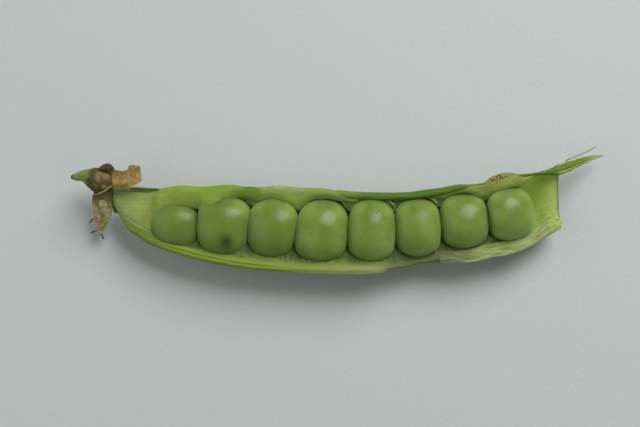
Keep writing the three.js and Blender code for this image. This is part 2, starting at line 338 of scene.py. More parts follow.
# The outline seen from above: the far wall's widest line, the free edge of its curl, and the near rim.
far_y = through(
    (-34.7, 3.9), (-34.0, 4.5), (-31.2, 4.65), (-28.5, 4.35), (-26.2, 4.3), (-23.3, 4.6), (-17.8, 4.55),
    (-14.4, 4.7), (-13.0, 4.5), (-11.5, 4.4), (-10.2, 4.3), (-9.2, 4.35), (-7.0, 4.5), (-4.5, 4.45),
    (-1.6, 4.15), (1.9, 3.95), (5.3, 3.25), (7.5, 3.0), (9.0, 3.0), (14.7, 3.05), (17.4, 3.4), (20.2, 3.8),
    (23.0, 4.5), (25.7, 4.85), (27.3, 5.2), (28.3, 6.0), (29.5, 6.5), (31.8, 6.7), (33.2, 6.55),
    (35.3, 6.7), (37.0, 7.0), (38.7, 7.4), (39.5, 7.5),
)
edge_y = through(
    (-34.7, 2.9), (-34.2, 1.3), (-33.6, 0.2), (-32.0, -2.15), (-30.3, -3.3), (-28.9, -4.1), (-28.5, -4.25),
    (-28.2, -3.6), (-28.05, -2.3), (-27.8, -0.8), (-27.1, 0.2), (-26.1, 0.75), (-24.5, 1.1), (-22.0, 1.0),
    (-20.7, 0.7), (-19.8, 0.7), (-18.2, 0.7), (-17.3, 0.75), (-16.8, 0.95), (-16.3, 1.5), (-15.5, 2.05),
    (-14.4, 2.4), (-13.2, 2.5), (-11.6, 2.1), (-10.3, 1.85), (-9.2, 2.1), (-8.0, 2.2), (-6.5, 1.95),
    (-4.8, 1.1), (-3.5, 0.45), (-2.7, 1.1), (-1.3, 2.05), (0.5, 2.3), (2.1, 2.2), (3.7, 1.8), (5.0, 1.4),
    (6.0, 1.65), (7.0, 2.1), (9.0, 2.3), (11.0, 2.15), (12.2, 1.75), (13.0, 1.65), (14.0, 2.0), (16.0, 2.3),
    (18.5, 2.4), (19.6, 2.1), (20.3, 2.0), (21.2, 2.5), (22.5, 3.15), (24.5, 3.3), (26.3, 2.6),
    (27.4, 2.05), (28.6, 2.9), (31.0, 4.0), (33.2, 4.45), (34.4, 5.35), (35.3, 6.1), (36.5, 6.6),
    (37.8, 6.85), (39.5, 7.2),
)
near_y = through(
    (-34.7, 2.2), (-34.2, 0.9), (-33.6, -0.2), (-32.0, -2.65), (-30.3, -3.9), (-28.9, -4.9), (-26.1, -6.0),
    (-23.4, -6.9), (-19.9, -7.9), (-16.0, -8.7), (-13.7, -9.1), (-10.0, -9.55), (-3.7, -10.0), (2.5, -10.2),
    (8.0, -10.2), (10.4, -9.95), (11.0, -9.5), (12.5, -9.3), (14.0, -9.05), (15.5, -8.6), (16.7, -8.35),
    (19.3, -8.1), (22.0, -8.1), (25.0, -8.0), (26.8, -7.7), (28.5, -7.2), (30.7, -6.9), (33.6, -6.0),
    (36.1, -4.6), (38.0, -3.35), (39.5, -2.3),
)
# The belly's lowest line, the heights of the widest line, the near rim and the free edge, how far the curl
# rises between the widest line and the free edge, and the widths of the rim and of the wall.
middle_y = through(
    (-34.7, 3.0), (-31, 0.5), (-24, -1.5), (-16, -2.1), (-8, -2.6), (0, -2.9), (8, -2.95), (16, -2.4),
    (24, -1.1), (32, 0.1), (39.5, 2.4),
)
belly_z = through(
    (-34.7, 4.5), (-31, 3.9), (-29, 3.2), (-27.5, 2.2), (-25.5, 0.9), (-23, 0.2), (-20, -0.05), (0, -0.05),
    (28, -0.05), (33.5, 0.6), (36, 2.0), (38, 2.9), (39.5, 3.3),
)
widest_z = through(
    (-34.7, 5.4), (-31, 5.3), (-28, 5.6), (-24, 6.2), (-15, 6.6), (0, 6.7), (8, 6.4), (24, 6.6), (31, 6.6),
    (36, 5.6), (39.5, 4.8),
)
near_z = through(
    (-34.7, 5.3), (-30, 5.5), (-20, 6.3), (0, 6.8), (9, 6.6), (11.5, 5.9), (17, 5.5), (22, 5.5), (30, 5.5),
    (39.5, 4.8),
)
edge_z = through(
    (-34.7, 5.2), (-31, 5.3), (-29.5, 5.2), (-28.4, 5.0), (-28.1, 5.2), (-27.8, 5.6), (-27.1, 6.2),
    (-26.1, 6.5), (-24.5, 6.8), (-23.2, 6.7), (-22.2, 6.45), (-21, 6.4), (-20.2, 7.0), (-19.5, 7.9),
    (-18.7, 8.4), (-18, 8.5), (-17, 8.3), (-16.5, 8.0), (-15.7, 7.4), (-14.3, 6.6), (-13, 6.3), (-12, 6.5),
    (-9, 7.0), (-6, 7.0), (-4.6, 6.7), (-3.6, 6.4), (-2.6, 6.8), (0, 7.1), (3, 6.9), (4.7, 6.6), (6.2, 6.9),
    (9, 7.1), (11, 6.9), (12.7, 6.6), (14.2, 6.8), (16, 7.0), (18, 6.8), (19.8, 6.6), (21.2, 6.8),
    (24, 7.1), (26.2, 6.8), (27.4, 6.3), (29, 6.8), (31, 7.3), (33, 7.1), (34.5, 6.9), (36, 6.4),
    (37.5, 5.9), (39.5, 5.4),
)
crest = through(
    (-34.7, 0.0), (-32, -0.1), (-29.5, -0.1), (-28, 0.3), (-25, 0.8), (-21, 1.1), (-16, 1.0), (-12, 0.75),
    (-8, 1.0), (-4, 1.2), (2, 1.2), (8, 0.9), (16, 0.9), (24, 1.3), (31, 1.6), (33.5, 1.0), (35.5, 0.3),
    (39.5, 0.1),
)
rim_width = through(
    (-34.7, 0.5), (-32, 0.9), (-28, 1.35), (-20, 1.6), (-13, 1.5), (-5, 1.3), (8, 1.2), (10.5, 0.9),
    (11.3, 0.45), (13, 0.7), (18, 0.8), (20, 1.3), (30, 1.5), (36, 0.9), (39.5, 0.4),
)
wall_thickness = through((-34.7, 0.4), (-30, 0.6), (-20, 0.7), (39.5, 0.45))
NEAR_START = np.radians(16)  # the angle of the rounded section at which the near wall ends in its rim
CURL_TURN = np.radians(138)  # the angle that the curl turns through, past its crest
# The near wall's inside from its rim to the belly: shares of the way across, and of the way down.
near_inside = through(
    (0, (0, 0)), (0.15, (0.12, 0.06)), (0.3, (0.25, 0.17)), (0.45, (0.37, 0.38)), (0.6, (0.5, 0.62)),
    (0.8, (0.72, 0.88)), (1, (1, 1)),
)


def valve_skin(x, near, far, curl):
    """The outer skin. Near, far and curl go from 0 to 1, one after another, along a section's stretches.

    Near: a quarter of a rounded oval, from the near rim down to the belly. Far: another, up to the far widest
    line. Curl: an arc that rises from there over the peas, past its crest, to the free edge.
    """
    angle = NEAR_START + near * (np.pi / 2 - NEAR_START)
    c, s = full_round(angle)
    c0, s0 = full_round(NEAR_START)
    y = middle_y(x) + (near_y(x) - middle_y(x)) * c / c0
    z = near_z(x) + (belly_z(x) - near_z(x)) * (s - s0) / (1 - s0)
    c, s = full_round(np.pi / 2 * (1 - far))
    rising = far > 0
    y = np.where(rising, middle_y(x) + (far_y(x) - middle_y(x)) * c, y)
    z = np.where(rising, widest_z(x) + (belly_z(x) - widest_z(x)) * s, z)
    curled = curl > 0
    angle = curl * CURL_TURN
    share = (1 - np.cos(angle)) / (1 - np.cos(CURL_TURN))
    y = np.where(curled, far_y(x) + (edge_y(x) - far_y(x)) * share, y)
    rise = edge_z(x) - widest_z(x) - crest(x) * np.sin(CURL_TURN)
    z = np.where(curled, widest_z(x) + crest(x) * np.sin(angle) + rise * share, z)
    return y, z


NEAR_COLUMNS = 26
FAR_COLUMNS = 24
CURL_COLUMNS = 22
FOLD_COLUMNS = 4
INSIDE_COLUMNS = 34
RIM_COLUMNS = 16

# The sections stand closest where the free edge runs round the first pea.
HOOK_START = -29
HOOK_END = -27
before_hook = np.linspace(POD_START, HOOK_START, 40)[:-1]
at_hook = np.linspace(HOOK_START, HOOK_END, 50)[:-1]
x = np.concatenate([before_hook, at_hook, np.linspace(HOOK_END, POD_END, 400)])[:, None]
near_along = np.linspace(0, 1, NEAR_COLUMNS + 1)[:-1]
far_along = np.linspace(1, 2, FAR_COLUMNS + 1)[:-1]
along = np.concatenate([near_along, far_along, np.linspace(2, 3, CURL_COLUMNS)])[None, :]
outer_y, outer_z = valve_skin(x, np.clip(along, 0, 1), np.clip(along - 1, 0, 1), np.clip(along - 2, 0, 1))

# The normal of each section, in its own plane, points out of the pod.
step_y, step_z = np.gradient(outer_y, axis=1), np.gradient(outer_z, axis=1)
length = np.hypot(step_y, step_z) + 1e-9
normal_y, normal_z = step_z / length, -step_y / length

# The skin swells a little over each pea, wavers everywhere, and is pressed flat on the table.
SWELL = 0.22
SKIN_WAVER = 0.05
over_peas = sum(hill(x, middle, 2.6) for middle in PEA_MIDDLES)
swell = SWELL * (over_peas - 0.55) * step(along, 0.3, 0.7) * (1 - step(along, 2.2, 2.8))
swell = swell + SKIN_WAVER * wander(3, x / 2.2, along * 5)
outer_y = outer_y + swell * normal_y
outer_z = np.maximum(outer_z + swell * normal_z, 0.0)

# The wall thins out towards the free edge of the curl, and there it folds back to the inner surface.
EDGE_THINNING = 0.75
thickness = wall_thickness(x) * (1 - EDGE_THINNING * step(along, 2.1, 2.9))
inner_y = outer_y - thickness * normal_y
inner_z = outer_z - thickness * normal_z
fold = np.linspace(0, 1, FOLD_COLUMNS + 2)[1:-1][None, :]
bulge = 0.5 * np.sin(fold * np.pi) * thickness[:, -1:] / length[:, -1:]
fold_y = outer_y[:, -1:] + (inner_y[:, -1:] - outer_y[:, -1:]) * fold + bulge * step_y[:, -1:]
fold_z = outer_z[:, -1:] + (inner_z[:, -1:] - outer_z[:, -1:]) * fold + bulge * step_z[:, -1:]
back_y, back_z = inner_y[:, NEAR_COLUMNS:][:, ::-1], inner_z[:, NEAR_COLUMNS:][:, ::-1]

# Between two peas the lining rises in a low ridge. The peas lean, so the ridges slant.
MEETINGS = [-20.35, -12.0, -4.0, 4.65, 12.6, 20.08, 28.0]
RIDGE_AXIS_Z = 6.4  # the height of the axis that the ridges rise towards
ridge_slant = through(
    (-24, 0.06), (-20.35, 0.08), (-12, 0.14), (-4, 0.17), (4.65, 0.08), (12.6, 0.0), (20, -0.03),
    (28, -0.09), (36, -0.14),
)


def ridge(x, y):
    """1 at the places of the lining where two peas meet, and 0 away from them."""
    sideways = y - middle_y(x)
    width = 0.55 + 0.3 * np.clip(np.abs(sideways) - 1.5, 0, 5)
    return sum(hill(x - ridge_slant(x) * sideways, place, width) for place in MEETINGS)


def with_ridges(x, y, z, share):
    """Moves points of the lining towards the pod's axis by this share of the way, where two peas meet."""
    share = share * ridge(x, y)
    return y + (middle_y(x) - y) * share, z + (RIDGE_AXIS_Z - z) * share


FAR_RIDGES = 0.42
NEAR_RIDGES = 0.38
back_along = along[:, NEAR_COLUMNS:][:, ::-1]
back_y, back_z = with_ridges(x, back_y, back_z, FAR_RIDGES * (1 - step(back_along, 2.3, 2.8)))

# The near wall is lined with spongy flesh, which the peas have pressed into lumps.
depth = np.linspace(0, 1, INSIDE_COLUMNS)[None, :]
shares = near_inside(depth)
lining_y = near_y(x) + rim_width(x)
lining_z = near_z(x) + 0.1
floor_z = inner_z[:, NEAR_COLUMNS : NEAR_COLUMNS + 1]
lining_y = lining_y + (inner_y[:, NEAR_COLUMNS : NEAR_COLUMNS + 1] - lining_y) * shares[..., 0]
lining_z = lining_z + (floor_z - lining_z) * shares[..., 1]
sponge = 0.20 * wander(5, x / 0.55, depth * 16) + 0.12 * wander(6, x / 0.28, depth * 34)
lining_z = lining_z + sponge * step(depth, 0.02, 0.15) * (1 - step(depth, 0.7, 0.95)) * step(x, -29, -24)
# These mark where the lining gets painted shade: between the peas, less so where they stand further apart,
# and where two of them have pressed it in.
open_gaps = 0.8 * hill(x, 13.3, 1.7) + 0.7 * hill(x, 28.5, 2.0) + 0.4 * hill(x, 20.6, 1.2)
between_peas = np.minimum(1.6 * ridge(x, lining_y), 1) * step(depth, 0.05, 0.2) * (1 - open_gaps)
pressed_in = (hill(x, -21.6, 1.5) + 0.6 * hill(x, -13.3, 1.3)) * step(depth, 0.0, 0.1)
lining_y, lining_z = with_ridges(x, lining_y, lining_z, NEAR_RIDGES * step(depth, 0.05, 0.4))
lining_y, lining_z = lining_y[:, ::-1], lining_z[:, ::-1]

# The near rim is the scar where the other valve came off, and stands proud. Towards the stalk it is two
# ridges with a groove between them.
rim = np.linspace(0, 1, RIM_COLUMNS + 2)[1:-1][None, :]
twin = step(x, -29.5, -24) * (1 - step(x, -9, -3))
proud = rim_width(x) * (0.30 * np.sin(rim * np.pi) ** 0.7 - 0.06 * twin * np.cos(rim * 4 * np.pi))
proud = proud * (1 - 0.7 * step(x, 20, 23) * (1 - step(x, 36, 38))) + 0.05 * wander(8, x / 0.5, rim * 4)
rim_y = lining_y[:, -1:] + (outer_y[:, :1] - lining_y[:, -1:]) * rim
rim_z = lining_z[:, -1:] + (outer_z[:, :1] - lining_z[:, -1:]) * rim + proud


def whole_section(skin, edge, back, lining, rim_top):
    """One value for each point of every section, put together from the section's five stretches."""
    stretches = zip((along, fold, back_along, depth, rim), (skin, edge, back, lining, rim_top))
    return np.concatenate([value + 0 * x * place for place, value in stretches], axis=1)


section_y = whole_section(outer_y, fold_y, back_y, lining_y, rim_y)
section_z = whole_section(outer_z, fold_z, back_z, lining_z, rim_z)
skin_along = whole_section(along, 3, back_along, depth[:, ::-1], 0)
inside = whole_section(0, fold, 1, 1, 1 - rim)
rim_reach = 0.1 + 0.35 * (1 - step(x, -28, -25.5))
rim_mask = whole_section(0, 0, 0, 1 - step(depth[:, ::-1], 0.5 * rim_reach - 0.05, rim_reach), 1)
# The groove between the two ridges is painted a little darker, as shade.
groove = whole_section(0, 0, 0, 0, hill(rim, 0.5, 0.16))
# Along the middle the skin's torn margin shows as a thin cream line on the outside of the rim.
margin = whole_section(0, 0, 0, 0, hill(rim, 0.88, 0.1) * step(x, -7, -2) * (1 - step(x, 10.6, 11.2)))

# The torn end reaches a little past the pod's end. It wavers, and its lower corner runs out to a point.
TORN_REACH = 0.75
torn = 0.08 * wander(11, skin_along * 7, 0) + 0.05 * wander(12, skin_along * 22, 0)
torn = TORN_REACH + torn + 0.25 * hill(skin_along, 0.0, 0.22)
grown = (x - POD_START) / (POD_END - POD_START)
section_x = x + torn * step(grown, 0.93, 1.0) ** 1.5

# Left of the first pea the wall lies open, and its pale lining shows as far as a slanting line. It has the
# rim's colour at its free edge.
open_left = 1 - step(section_x - 0.55 * (section_y - 0.2), -30.0, -28.2)
inside = np.maximum(inside, open_left * step(skin_along, 1.96, 2.08))
open_edge = open_left * step(skin_along, 2.7, 2.95) * (skin_along <= 3)
# Past the last pea the curl opens out, and its lining shows up to the string.
inside = np.maximum(inside, step(section_x, 33.5, 36.0) * step(skin_along, 2.0, 2.2))

# Painted shade: the lining is painted dark green where shade falls on it, between the peas, deep in the pod,
# on the far wall, and under the curl at the gaps between peas.
near_painted_shade = np.maximum(np.maximum(between_peas, pressed_in), step(depth, 0.2, 0.5))[:, ::-1]
gap_painted_shade = hill(x, -12.2, 1.4) + 0.8 * hill(x, 4.7, 1.2) + 0.7 * hill(x, 12.9, 0.9) + hill(x, 20.4, 1.2)
far_painted_shade = np.maximum(1 - step(back_along, 2.1, 2.5), gap_painted_shade * (1 - step(back_along, 2.7, 2.95)))
deep = whole_section(0, 0, far_painted_shade, near_painted_shade, 0) * step(x, -27.5, -25.5) * (1 - step(x, 31.8, 33.8))

# Painted light: past the last pea the wall is thin, and the daylight through it is painted on its lining as a
# pale glow.
thin_wall = hill(section_x, 34.5, 1.9) * step(skin_along, 1.2, 1.6) * (1 - step(skin_along, 2.0, 2.3))
thin_wall = thin_wall + 0.7 * hill(section_x, 38.0, 1.3) * step(skin_along, 1.8, 2.0)

# The rest that the finish needs to know is how far along the pod a point is, the curl's own skin, its waxy
# film, its yellow-green tip between two peas, painted brighter for the daylight through it, its free
# edge over the last two peas, painted pale as light on its shaded underside, its brown scar, the blanched
# left end and the smooth right end.
lip_edge = step(skin_along, 2.45, 2.75) * (1 - step(inside, 0.5, 0.9))
points = np.stack([section_x, section_y, section_z], axis=-1)
masks = {
    "deep": deep,
    "station": grown,
    "inside": np.maximum(inside, step(grown, 0.992, 0.998)),
    "rim": np.maximum(rim_mask, open_edge),
    "groove": groove * twin,
    "margin": margin,
    "band": step(skin_along, 1.95, 2.1) * (1 - inside),
    "film": hill(skin_along, 2.15, 0.25) * step(x, -10.5, -8.5) * (1 - step(x, 0, 3)),
    "tip": hill(x, -4.4, 2.4) * step(skin_along, 2.35, 2.75) * (1 - step(inside, 0.5, 0.9)),
    "lip": (hill(x, 30.4, 1.9) + 0.9 * hill(x, 24.2, 2.4)) * lip_edge,
    "scar": hill(skin_along, 2.38, 0.26) * hill(x, 29.7, 2.4),
    "blanched": (1 - step(section_x, -29.0, -26.5)) * inside * (skin_along > 2) * 0.7,
    "smooth": step(section_x, 34.0, 36.0),
    "thin_wall": thin_wall * inside,
}
valve = body_mesh("valve_wall", points, masks)


def tones(paint, *stops):
    """A colour that changes along the pod, from (position, screen colour) stops."""
    stops = [((at - POD_START) / (POD_END - POD_START), colour(*tone)) for at, tone in stops]
    return paint.node("ShaderNodeValToRGB", {0: paint.mask("station")}, stops=stops)


def living(gloss, weight, depth, radius):
    """Shader constants of living plant flesh: its gloss, and how light goes into it and comes out again."""
    return {
        "Specular IOR Level": gloss,
        "Subsurface Weight": weight,
        "Subsurface Scale": depth,
        "Subsurface Radius": radius,
    }


finish, shader, paint, where = new_finish("pod_flesh", living(0.28, 0.5, 0.002, (0.9, 1.0, 0.25)))
mottle = paint.noise(where, 0.9, 4.0, 0.55)
fleck = paint.noise(where, 3.2, 3.0, 0.6)
streak = paint.noise(where, 1.6, 3.0, 0.6, stretch=(7, 0.6, 0.6))
skin = mottle.patches(colour(112, 138, 50), colour(130, 152, 66))
band = tones(
    paint,
    (-34.7, (120, 138, 62)), (-27.5, (154, 178, 74)), (-24, (136, 160, 60)), (-20, (140, 166, 58)),
    (-17, (126, 154, 52)), (-15, (128, 156, 52)), (-12, (108, 138, 44)), (-10.3, (112, 142, 48)),
    (-9.2, (138, 158, 82)), (-1, (130, 154, 72)), (4, (132, 158, 76)), (6.5, (120, 148, 62)),
    (9, (94, 132, 36)), (18, (96, 134, 38)), (24, (134, 160, 70)), (27.5, (122, 144, 62)),
    (30, (150, 168, 84)), (33, (122, 146, 62)), (37, (140, 166, 72)),
)
flesh = tones(
    paint,
    (-34.7, (158, 176, 92)), (-28, (160, 178, 92)), (-20, (120, 140, 62)), (10, (122, 142, 64)),
    (13, (104, 116, 62)), (19, (112, 126, 66)), (27, (130, 148, 74)), (32, (126, 146, 68)),
    (34.5, (148, 172, 74)), (37, (148, 172, 78)), (38.6, (168, 188, 100)), (39.3, (168, 188, 100)),
)
scar_of_rim = tones(
    paint,
    (-34.7, (106, 124, 48)), (-29, (106, 128, 42)), (-25, (130, 152, 48)), (-10, (134, 156, 56)),
    (0, (140, 158, 72)), (9.5, (146, 156, 100)), (11.5, (112, 120, 72)), (19, (102, 110, 60)),
    (30, (134, 146, 90)), (39.5, (150, 166, 90)),
)
# One over another: the skin, the curl's own skin, the lining and the rim, and then the marks on them.
base = paint.mask("band").mix(skin, band)
base = paint.mask("inside").mix(base, flesh)
base = paint.mask("rim").mix(base, scar_of_rim)
# Painted shade: a faint dark line along the rim's groove.
base = (paint.mask("groove") * 0.12).mix(base, colour(92, 118, 34))
base = (paint.mask("margin") * 0.7).mix(base, colour(198, 206, 148))
base = (paint.mask("film") * mottle.ramp(0.35, 0.65) * 0.8).mix(base, colour(170, 178, 138))
# Painted light: the curl's tip between the third and fourth peas is painted brighter, for the daylight
# through it.
base = (paint.mask("tip") * 0.8).mix(base, colour(146, 172, 60))
base = paint.mask("scar").mix(base, colour(164, 146, 84))
# Painted light: the curl's free edge over the last two peas is painted pale, where it turns down into shade.
base = (paint.mask("lip") * 0.75).mix(base, colour(180, 200, 98))
base = (paint.mask("scar") * fleck.ramp(0.48, 0.54)).mix(base, colour(74, 56, 26))
base = (fleck.ramp(0.56, 0.74) * paint.mask("inside") * 0.5).mix(base, colour(172, 184, 124))
base = (paint.mask("blanched") * mottle.ramp(0.48, 0.72)).mix(base, colour(164, 176, 104))
base = (streak.ramp(0.62, 0.4) * 0.2 * (1 - paint.mask("smooth"))).mix(base, colour(84, 108, 36))
# Painted light: the glow of daylight through the thin wall past the last pea.
base = paint.mask("thin_wall").mix(base, colour(214, 232, 146))
# Painted shade: dark green where shade falls on the lining.
base = (paint.mask("deep") * 0.85).mix(base, colour(64, 90, 20))
feed(shader, "Base Color", base)
feed(shader, "Roughness", 0.48 + 0.2 * mottle)
feed(shader, "Normal", bump(paint, 0.6 * fleck + 0.8 * streak, 0.05))
valve.data.materials.append(finish)
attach(valve, "root")
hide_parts("pod_valve")


# ---------- Seam string and its tail ----------
# A strand of fibres runs along the seam, and shows as a dark green cord on the outside of the curl. It holds
# when the valve tears, so its end stands out as a tail of three parallel strands with a dry, pale tip.


def run_along(path, half_width, half_height, around, lobes=0.0):
    """Sections of a strand: flattened rings carried along a path, each square to it.

    A ring point is path + half_width cos a side - half_height sin a up. Lobes make it three strands wide.
    """
    heading = np.gradient(path, axis=0)
    heading /= np.linalg.norm(heading, axis=1, keepdims=True)
    side = np.cross(heading, [0, 0, 1])
    side /= np.linalg.norm(side, axis=1, keepdims=True)
    up = np.cross(side, heading)
    a = np.linspace(0, 2 * np.pi, around, endpoint=False)
    lobe = 1 + lobes * np.cos(3 * np.pi * np.cos(a))
    wide = half_width * np.cos(a)
    high = half_height * np.sin(a) * lobe
    return path[:, None] + wide[..., None] * side[:, None] - high[..., None] * up[:, None]


STRING_START = -31.8
STRING_END = 47.2
STRING_ROWS = 420
STRING_COLUMNS = 36
string_path = through(
    (-31.8, (-31.8, 4.35, 5.2)), (-30, (-30, 4.3, 5.45)), (-28, (-28, 4.1, 5.7)),
    (-25.5, (-25.5, 3.9, 5.9)), (-15, (-15, 4.1, 6.5)), (-12, (-12, 4.1, 6.65)), (-9, (-9, 3.9, 6.7)),
    (1, (1, 3.4, 6.9)), (3, (3, 3.3, 7.15)), (5.3, (5.3, 2.95, 7.3)), (9, (9, 2.75, 7.3)),
    (14.7, (14.7, 2.8, 7.3)), (17.4, (17.4, 3.15, 7.4)), (20.2, (20.2, 3.55, 7.4)), (23, (23, 4.15, 7.5)),
    (25.7, (25.7, 4.35, 7.3)), (28.5, (28.5, 5.0, 7.0)), (32, (32, 6.0, 7.0)), (36, (36, 6.62, 6.3)),
    (38.7, (38.7, 7.08, 5.8)), (40.5, (40.5, 7.6, 5.5)), (42.5, (42.65, 8.42, 5.0)),
    (44.5, (44.95, 9.4, 4.1)), (46, (46.6, 10.05, 3.3)), (47.2, (48.5, 10.5, 2.7)),
)
string_width = through(
    (-31.8, 0.1), (-30, 0.22), (-15, 0.3), (-9, 0.3), (1, 0.25), (3.5, 0.5), (6, 0.6), (14, 0.62),
    (19, 0.62), (23, 0.5), (26, 0.3), (33, 0.22), (36.5, 0.28), (38.7, 0.55), (40.5, 0.93), (42.5, 0.77),
    (44.5, 0.58), (46, 0.4), (47.2, 0.12),
)
string_height = through(
    (-31.8, 0.1), (-30, 0.2), (-15, 0.3), (-9, 0.3), (1, 0.25), (3.5, 0.35), (6, 0.42), (23, 0.38),
    (26, 0.3), (36.5, 0.4), (40.5, 0.42), (44.5, 0.3), (47.2, 0.05),
)
x = np.linspace(STRING_START, STRING_END, STRING_ROWS)[:, None]
# Past the torn end the string is loose and its strands part. They begin to show a little before it.
loose = step(x, 39.2, 40.8)
parted = 0.4 * hill(x, 34.0, 2.0) + loose
width = string_width(x) * (1 + 0.07 * wander(33, x / 0.5, 0) * step(x, 36.5, 38.5))
height = string_height(x) * (1 + 0.08 * wander(31, x / 1.5, 0))
points = run_along(string_path(x[:, 0]), width, height, STRING_COLUMNS, 0.35 * parted)
# The tail's strands lie side by side. The near one is paler, and the furrows between them are painted dark as
# shade.
across = np.cos(np.linspace(0, 2 * np.pi, STRING_COLUMNS, endpoint=False))[None, :]
masks = {
    "tail": parted,
    "tip": step(x, 43.5, 47),
    "covered": step(x, -2, 1) * (1 - step(x, 3.5, 8.5)),
    "pale_strand": loose * step(across, 0.3, 0.5),
    "furrow": loose * hill(np.abs(across), 0.33, 0.12),
}
string = body_mesh("string_strand", points, masks)

finish, shader, paint, where = new_finish("string_fibre", living(0.4, 0.15, 0.0006, (0.8, 1.0, 0.3)))
streak = paint.noise(where, 2.2, 3.0, 0.6, stretch=(9, 0.5, 0.5))
base = streak.patches(colour(66, 106, 16), colour(92, 130, 30))
base = paint.mask("covered").mix(base, colour(122, 150, 54))
tail_tone = streak.patches(colour(112, 142, 42), colour(150, 172, 68))
base = paint.mask("tail").mix(base, tail_tone)
base = (paint.mask("pale_strand") * 0.8).mix(base, colour(160, 178, 88))
# Painted shade in the furrows between the tail's strands.
base = (paint.mask("furrow") * 0.6).mix(base, colour(74, 104, 24))
base = paint.mask("tip").mix(base, colour(176, 188, 116))
feed(shader, "Base Color", base)
feed(shader, "Roughness", 0.45 + 0.2 * streak)
feed(shader, "Normal", bump(paint, streak, 0.16))
string.data.materials.append(finish)
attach(string, "root")
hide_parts("seam_string")


def thread(name, path, half_width, rows, around, masks=None):
    """A round thread carried along a path, as thick as half_width gives at each share of the way."""
    share = np.linspace(0, 1, rows)
    thick = half_width(share)[:, None]
    return body_mesh(name, run_along(path(share), thick, thick, around), masks)


def plain_finish(name, roughness, scale, first, second):
    """A finish of two colours in soft patches, with scale patches a millimetre."""
    finish, shader, paint, where = new_finish(name, {"Roughness": roughness})
    feed(shader, "Base Color", paint.noise(where, scale).patches(first, second))
    return finish


# One thin fibre has come off the tail and stands beside it.
fibre_path = through(
    (0, (41.35, 8.7, 5.2)), (0.08, (41.5, 9.1, 5.5)), (0.2, (42.3, 9.45, 5.6)), (0.6, (44.6, 10.45, 5.2)),
    (0.9, (46.3, 11.35, 4.9)), (1, (46.8, 11.65, 4.8)),
)
fibre_width = through((0, 0.06), (0.1, 0.11), (0.8, 0.12), (1, 0.07))
fibre = thread("loose_fibre", fibre_path, fibre_width, rows=60, around=12)
fibre_finish = plain_finish("loose_fibre", 0.5, 1.2, colour(128, 138, 92), colour(160, 168, 128))
fibre.data.materials.append(fibre_finish)
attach(fibre, "root")
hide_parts("tail_fibre")


# ---------- Peas ----------
# Eight ripe seeds, each in its smooth waxy coat. They grew until they filled the pod, so they have pressed
# each other flat where they touch, and only the first one is round on its free side.

# Each pea: its two ends along the pod, its middle across the pod, its half width and half height, the slope
# of its axis in degrees, how much less it is pressed on its far side, where the row is looser, and how its
# top slopes along and across the pod.
PEAS = [
    (-28.3, -20.25, -2.2, 3.98, 3.4, -8, -0.25, 0.03, 0.18),
    (-20.4, -11.85, -2.0, 5.15, 4.25, -10, -0.55, -0.04, 0.04),
    (-12.05, -3.95, -2.35, 5.0, 4.35, -9, 0.12, 0.09, 0.05),
    (-4.05, 4.65, -2.73, 5.35, 4.45, -5, 0.15, -0.03, -0.03),
    (4.65, 12.55, -2.65, 5.37, 4.45, -1, -0.05, -0.06, -0.02),
    (12.45, 20.05, -2.2, 4.93, 4.35, 0, -0.2, 0.0, -0.02),
    (19.95, 28.0, -1.0, 4.7, 4.25, 4, -0.2, -0.05, -0.06),
    (27.95, 35.7, 0.05, 4.5, 4.2, 8, 0.05, -0.21, 0.0),
]
PEA_ROWS = 80
PEA_COLUMNS = 96
ROUNDNESS = 2.1  # the exponent of a pea's outline square to the row
PRESSED = 1.2  # how much longer than its room a pea would be, had it not met its neighbours
CORNER = 5  # how sharply it turns into the flat where they met
POLE = 0.03  # the angle from a pea's end at which its mesh starts
OVERLAP = 0.08  # how far a pea reaches past each of its ends in the list, into its neighbour
FLOOR_GAP = 0.7  # the height of a pea above the belly's skin
DENTS = 0.01  # how uneven a pea is, as a share of its size

waxy_bloom = {"Sheen Weight": 0.55, "Sheen Roughness": 0.5, "Sheen Tint": (0.55, 0.85, 0.3, 1.0)}
pea_sockets = {**living(0.27, 0.9, 0.012, (0.9, 1.0, 0.35)), **waxy_bloom}
pea_finish, shader, paint, where = new_finish("pea_skin", pea_sockets)
cloud = paint.noise(where, 0.35, 3.0, 0.5)
speck = paint.noise(where, 3.0, 3.0, 0.6)
pits = paint.noise(where, 1.7, 2.0, 0.5)
# Painted light and shade: each pea is painted paler on its near side and darker on its far side.
far_tone_painted_shade = cloud.patches(colour(104, 130, 52), colour(120, 144, 65))
near_tone_painted_light = cloud.patches(colour(117, 142, 61), colour(134, 158, 76))
base = paint.mask("near_side").mix(far_tone_painted_shade, near_tone_painted_light)
base = paint.mask("deeper").mix(base, colour(104, 130, 50))
# Painted light: the far corners of each pea's top are painted paler, where the curl shades them.
base = paint.mask("shoulder").mix(base, colour(134, 162, 74))
base = (paint.mask("blotch") * 0.9).mix(base, colour(50, 76, 22))
feed(shader, "Base Color", base)
feed(shader, "Roughness", 0.17 + 0.1 * speck + 0.09 * paint.mask("dull"))
feed(shader, "Normal", bump(paint, 0.2 * speck + pits * paint.mask("pitted"), 0.13))

